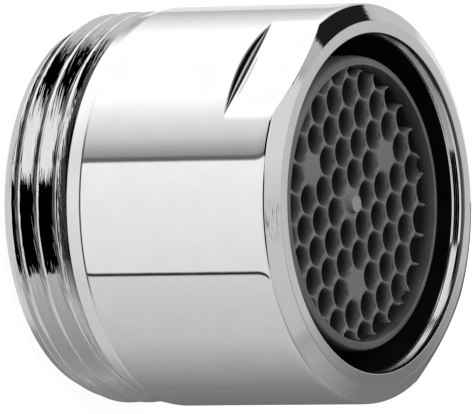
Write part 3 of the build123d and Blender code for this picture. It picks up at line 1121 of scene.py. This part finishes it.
HIGH_CARDS = (
    (-180, -140, 0.72, 0.62), (-116, -40, 0.73, 0.74), (-38, 24, 0.0, 0.0), (25, 90, 0.86, 0.86),
    (130, 180, 0.8, 0.72),
)
FAR_UNDER_CARDS = ((-180, -145, 0.45, 0.48), (-104, -85, 0.75, 0.76))
SIDE_UNDER_CARDS = ((75, 122, 1.0, 1.0), (144, 180, 0.66, 0.64))
EDGE_CARDS = (
    *FAR_UNDER_CARDS, (-59, -59, 0.7, 0.7), (-38, 36, 0.3, 0.3), (56, 56, 0.88, 0.88), *SIDE_UNDER_CARDS,
)
UNDER_CARDS = (
    *FAR_UNDER_CARDS, (-59, 12, 0.78, 0.88), (36, 36, 0.84, 0.84), *SIDE_UNDER_CARDS,
)
FOOT_LEVEL = 0.78  # straight below
WHOLE_TURN = 360
# A row, the two shares of the way up between which it takes over, and its lean in degrees per share.
CARD_ROWS = (
    (UNDER_CARDS, -0.86, -0.82, 0),
    (EDGE_CARDS, -0.665, -0.655, 0),
    (LOW_CARDS, -0.585, -0.575, 0),
    (HORIZON_CARDS, -0.09, -0.07, 0),
    (EYE_LEVEL_CARDS, 0.22, 0.30, 30),
    (HIGH_CARDS, 0.78, 0.82, 0),
)
# Overhead, places are shares of the way aside instead, from minus one to one.
WHOLE_ASIDE = 2
OVERHEAD_CARDS = ((-0.7, -0.42, 0.6, 0.74), (0.0, 0.0, 0.75, 0.75), (0.2, 0.7, 0.82, 0.79))
OVERHEAD_FROM = 0.91
OVERHEAD_FULLY = 0.96
LEAN_HEIGHT = 0.6  # share of the way up at which a leaning row keeps its places
# Round flags in front of the cards: degrees round and up, full and last spread in degrees, grey level.
FLAGS = (
    (143.5, 29.5, 13.6, 14.8, 0.13),
    (110, 49, 7.5, 8.5, 0.08),
    (187, 30, 3, 7, 0.45),
)


def card_row(tree, place, whole, cards):
    """A row of cards as grey levels, by a place that runs from minus half of the whole to half of it."""
    edges = []
    for first, last, first_level, last_level in cards:
        edges += [(first, first_level), (last, last_level)]
    ramp = add_node(tree, "ShaderNodeValToRGB", {0: place / whole + 0.5})
    marks = ramp.color_ramp.elements
    while len(marks) < len(edges):
        marks.new(0.5)
    for mark, (position, level) in zip(marks, edges):
        mark.position = position / whole + 0.5
        mark.color = grey(level)
    return Wire(ramp.outputs[0])


def along(tree, ray, direction):
    """How far a ray goes in a direction."""
    node = add_node(tree, "ShaderNodeVectorMath", {0: ray, 1: direction}, operation="DOT_PRODUCT")
    return Wire(node.outputs["Value"])


def studio_cards(tree, ray):
    """Grey levels of the cards, the overhead cards and the flags, as a ray sees them."""
    aside = along(tree, ray, ASIDE)
    turn = aside.math("ARCTAN2", along(tree, ray, NEAR)) * (180 / math.pi)
    height = along(tree, ray, AXIS)
    cards = grey(FOOT_LEVEL)
    for row, start, end, lean in CARD_ROWS:
        leaning_turn = turn + (height - LEAN_HEIGHT) * lean
        share = ranged(tree, height, 0.0, 1.0, start, end)
        cards = blended(tree, share, cards, card_row(tree, leaning_turn, WHOLE_TURN, row))
    share = ranged(tree, height, 0.0, 1.0, OVERHEAD_FROM, OVERHEAD_FULLY)
    cards = blended(tree, share, cards, card_row(tree, aside, WHOLE_ASIDE, OVERHEAD_CARDS))
    for degrees_round, degrees_up, full, last, shade in FLAGS:
        round_to = math.radians(degrees_round)
        up = math.radians(degrees_up)
        level = NEAR * math.cos(round_to) + ASIDE * math.sin(round_to)
        toward_flag = along(tree, ray, level * math.cos(up) + AXIS * math.sin(up))
        edges = math.cos(math.radians(last)), math.cos(math.radians(full))
        cards = blended(tree, ranged(tree, toward_flag, 0.0, 1.0, *edges), cards, grey(shade))
    return cards


def add_world():
    """Even light for the part, white for the camera, and rows of studio cards for the chrome to show."""
    world = bpy.data.worlds.new("studio")
    bpy.context.scene.world = world
    world.use_nodes = True
    tree = world.node_tree
    tree.nodes.clear()
    ray = Wire(tree.nodes.new("ShaderNodeTexCoord").outputs["Generated"])
    light = add_wire(tree, "ShaderNodeGamma", {"Color": studio_cards(tree, ray), "Gamma": SCREEN_GAMMA})
    shown = add_wire(tree, "ShaderNodeBackground", {"Color": light, "Strength": 1 / CHROME_REFLECTANCE})
    even = add_wire(tree, "ShaderNodeBackground", {"Strength": EVEN_LIGHT})
    white = add_wire(tree, "ShaderNodeBackground", {"Strength": 1.0})
    glossy, by_camera, through = ray_kinds(tree, "Glossy", "Camera", "Transmission")
    lit = add_wire(tree, "ShaderNodeMixShader", {0: glossy, 1: even, 2: shown})
    straight = by_camera.math("MAXIMUM", through)
    seen = add_wire(tree, "ShaderNodeMixShader", {0: straight, 1: lit, 2: white})
    add_node(tree, "ShaderNodeOutputWorld", {0: seen})


def add_softbox():
    """A square lamp that points at the part and stays out of the chrome."""
    data = bpy.data.lights.new("softbox", "AREA")
    data.shape = "SQUARE"
    data.size = SOFTBOX_SIZE
    data.energy = SOFTBOX_POWER
    lamp = add_object("softbox", data)
    middle = AXIS * (LIP_Z / 2)
    lamp.location = middle + SOFTBOX_DIRECTION.normalized() * SOFTBOX_DISTANCE
    lamp.rotation_euler = SOFTBOX_DIRECTION.to_track_quat("Z", "Y").to_euler()
    lamp.visible_glossy = False


make_housing()
make_outlet_honeycomb()
make_sealing_washer()
make_strainer_dome()
dress_hidden_nodes()
add_camera()
add_floor()
add_world()
add_softbox()
bpy.context.scene.view_settings.view_transform = "Standard"
